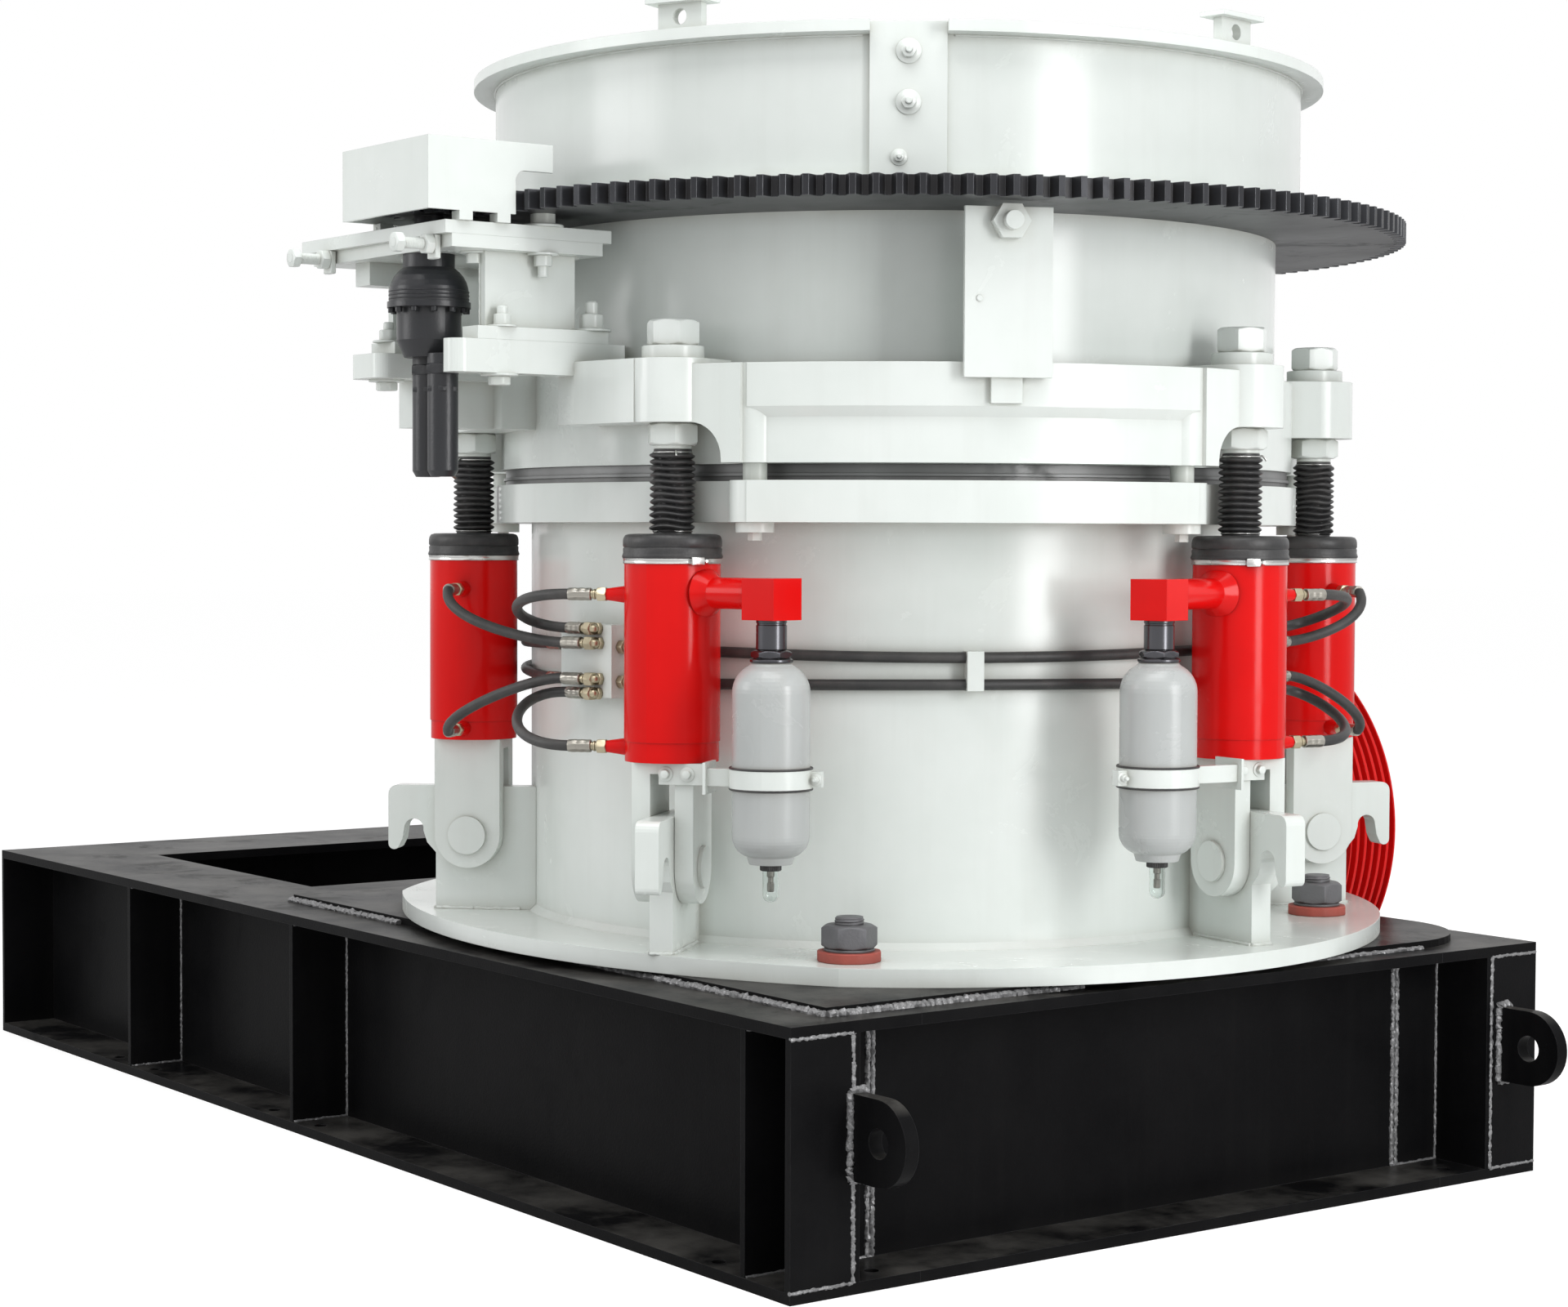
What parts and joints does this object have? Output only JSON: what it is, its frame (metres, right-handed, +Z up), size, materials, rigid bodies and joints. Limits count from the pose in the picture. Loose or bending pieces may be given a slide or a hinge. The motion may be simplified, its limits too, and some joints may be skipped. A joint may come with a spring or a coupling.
{
  "type": "cone crusher",
  "caption": "Hydraulic cone crusher on a welded skid base, with a turning adjustment bowl and hopper, tramp release cylinders, accumulators and a belt-driven countershaft.",
  "frame": {"origin": "middle of the welded base's footprint, on the floor", "axes": "+X along the base towards the crusher end, +Y towards the belt side, +Z up"},
  "size_m": [4.0096, 2.528, 2.442],
  "materials": {
    "base_black": "satin black paint, scuffed",
    "frame_white": "gloss white paint",
    "cylinder_red": "gloss red paint",
    "boot_rubber": "matt black",
    "clamp_steel": "satin",
    "bolt_dark": "blackened",
    "washer_clay": "matt primer",
    "gear_steel": "machined, oiled",
    "liner_iron": "as cast",
    "motor_black": "satin black",
    "seal_grey": "dull",
    "sheave_red": "satin red paint",
    "bottle_grey": "gloss grey paint",
    "valve_clear": "clear cap",
    "zinc_plate": "yellow zinc plate",
    "hose_rubber": "satin black"
  },
  "bodies": {
    "machine": {"side_beams": "base_black", "cross_beams": "base_black", "closing_plate": "base_black", "bed_plate": "base_black", "tow_lugs": "base_black", "main_frame": "frame_white", "lug_plates": "frame_white", "anchor_washers": "washer_clay", "anchor_bolts": "bolt_dark", "clevises": "frame_white", "clevis_pins": "frame_white", "cylinder_tubes": "cylinder_red", "boot_clamps": "clamp_steel", "dust_boots": "boot_rubber", "rod_bellows": "boot_rubber", "rod_nuts": "frame_white", "oil_elbows": "frame_white", "accumulator_bottles": "bottle_grey", "accumulator_fittings": "zinc_plate", "charging_valves": "valve_clear", "accumulator_clamps": "frame_white", "manifold_blocks": "frame_white", "hose_fittings": "zinc_plate", "hydraulic_hoses": "hose_rubber", "ring_hoses": "hose_rubber", "hose_clips": "frame_white", "adjustment_ring": "frame_white", "seal_ring": "seal_grey", "guide_pins": "frame_white", "gear_brackets": "frame_white", "crushing_head": "liner_iron", "gear_guard": "frame_white", "drive_table": "frame_white", "drive_pedestal": "frame_white", "jack_bolts": "bolt_dark", "drive_motor": "motor_black", "countershaft_bearing": "frame_white"},
    "bowl_assembly": {"ring_gear": "gear_steel", "bowl": "frame_white", "bowl_liner": "liner_iron", "hopper": "frame_white", "hopper_joints": "frame_white", "lifting_lugs": "frame_white"},
    "pinion": {"drive_pinion": "gear_steel"},
    "belt_wheel": {"sheave": "sheave_red"}
  },
  "joints": [
    {"name": "bowl_turn", "type": "hinge", "parent": "machine", "child": "bowl_assembly", "pos_m": [0.805, 0.042, 1.9], "axis": [0, 0, 1], "continuous": true},
    {"name": "pinion_turn", "type": "hinge", "parent": "machine", "child": "pinion", "pos_m": [0.805, -1.155, 1.99], "axis": [0, 0, 1], "continuous": true},
    {"name": "belt_wheel_turn", "type": "hinge", "parent": "machine", "child": "belt_wheel", "pos_m": [0.805, 1.042, 0.69], "axis": [0, 1, 0], "continuous": true}
  ],
  "couplings": [
    {"joint": "pinion_turn", "follows": "bowl_turn", "ratio": -13.25}
  ]
}
